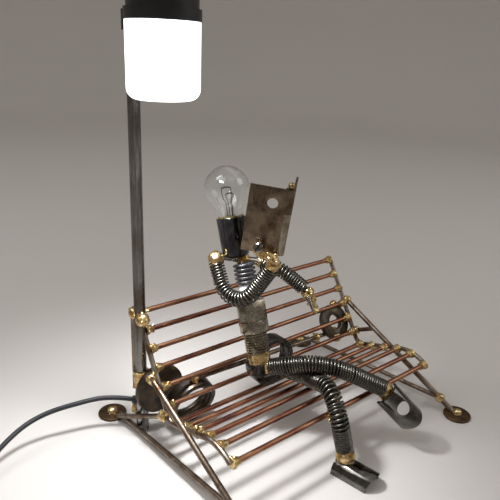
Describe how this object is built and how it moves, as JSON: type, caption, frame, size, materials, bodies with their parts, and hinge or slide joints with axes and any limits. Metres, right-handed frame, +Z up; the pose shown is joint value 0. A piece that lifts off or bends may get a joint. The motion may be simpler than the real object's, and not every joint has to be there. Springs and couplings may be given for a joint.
{
  "type": "robot shaped desk lamp",
  "caption": "Table lamp of brazed rods: a spring-limbed robot reads a hinge on a slatted bench under a post light.",
  "frame": {"origin": "on the surface it stands on, under the middle of the lamp's bounding box without its cord", "axes": "+Z up, -Y towards the front of the bench, which the robot faces, +X along the bench to the side away from the post"},
  "size_m": [0.3291, 0.1488, 0.243],
  "materials": {
    "copper_brown_rod": "heat-tinted brown steel",
    "steel_rod": "bare drawn steel",
    "dark_steel": "dark oxidised steel",
    "foot_bronze": "brown tarnished steel",
    "upright_steel": "dark polished steel tube",
    "plated_steel": "plated and worn",
    "lamp_black": "satin black",
    "frosted_glass": "frosted, lit from inside",
    "led_white": "white lamp body",
    "plug_steel": "plated steel, aged",
    "glazed_ceramic": "white glaze",
    "sleeve_steel": "dark chrome",
    "bulb_brass": "bright brass rim",
    "clear_glass": "clear",
    "filament_wire": "drawn wire",
    "spring_steel": "drawn spring wire, oiled",
    "braze_brass": "rough brazed brass",
    "aged_steel": "brown aged steel",
    "pin_steel": "polished",
    "black_rubber": "satin black",
    "plug_metal": "nickel plated"
  },
  "bodies": {
    "lamp": {"arm_spring_left": "spring_steel", "arm_spring_right": "spring_steel", "bearing_race": "dark_steel", "book_front": "aged_steel", "book_pin": "pin_steel", "braze_beads": "braze_brass", "cord_coil": "black_rubber", "cord_grommet": "black_rubber", "cord_lead": "black_rubber", "cross_rod": "steel_rod", "disc_left": "dark_steel", "foot_discs": "foot_bronze", "foot_rail_left": "steel_rod", "foot_rail_right": "steel_rod", "front_leg_left": "steel_rod", "front_leg_right": "steel_rod", "hand_left": "braze_brass", "hand_right": "braze_brass", "head_bulb_base": "bulb_brass", "head_filament": "filament_wire", "head_glass": "clear_glass", "head_sleeve": "sleeve_steel", "hip_block": "dark_steel", "hip_ring": "dark_steel", "lamp_cap": "lamp_black", "lamp_clamp": "lamp_black", "led_lamp": "led_white", "leg_spring_left": "spring_steel", "leg_spring_right": "spring_steel", "limb_rods": "dark_steel", "plug_grip": "black_rubber", "plug_insulator": "glazed_ceramic", "plug_shell": "plug_steel", "plug_tip": "plug_metal", "post_backing_rod": "steel_rod", "post_foot": "plated_steel", "post_upright": "upright_steel", "rear_leg_left": "steel_rod", "rear_leg_right": "steel_rod", "shoe_left": "plated_steel", "shoe_right": "plated_steel", "shoulder_bar": "plated_steel", "side_frame_left": "steel_rod", "side_frame_right": "steel_rod", "side_strut": "steel_rod", "slat_01": "copper_brown_rod", "slat_02": "copper_brown_rod", "slat_03": "copper_brown_rod", "slat_04": "copper_brown_rod", "slat_05": "copper_brown_rod", "slat_06": "copper_brown_rod", "slat_07": "copper_brown_rod", "slat_08": "copper_brown_rod", "slat_09": "copper_brown_rod", "slat_10": "copper_brown_rod", "slat_11": "copper_brown_rod", "slat_12": "copper_brown_rod", "washer_right": "dark_steel"},
    "book_leaf": {"book_back": "aged_steel"},
    "diffuser": {"lamp_diffuser": "frosted_glass"}
  },
  "joints": [
    {"name": "book_hinge", "type": "hinge", "parent": "lamp", "child": "book_leaf", "pos_m": [-0.0233, -0.007, 0.1154], "axis": [0, -0.1633, 0.9866], "range_deg": [-85, 55]},
    {"name": "diffuser_twist", "type": "hinge", "parent": "lamp", "child": "diffuser", "pos_m": [-0.077, 0.019, 0.227], "axis": [0, 0, 1], "range_deg": [0, 30]}
  ]
}
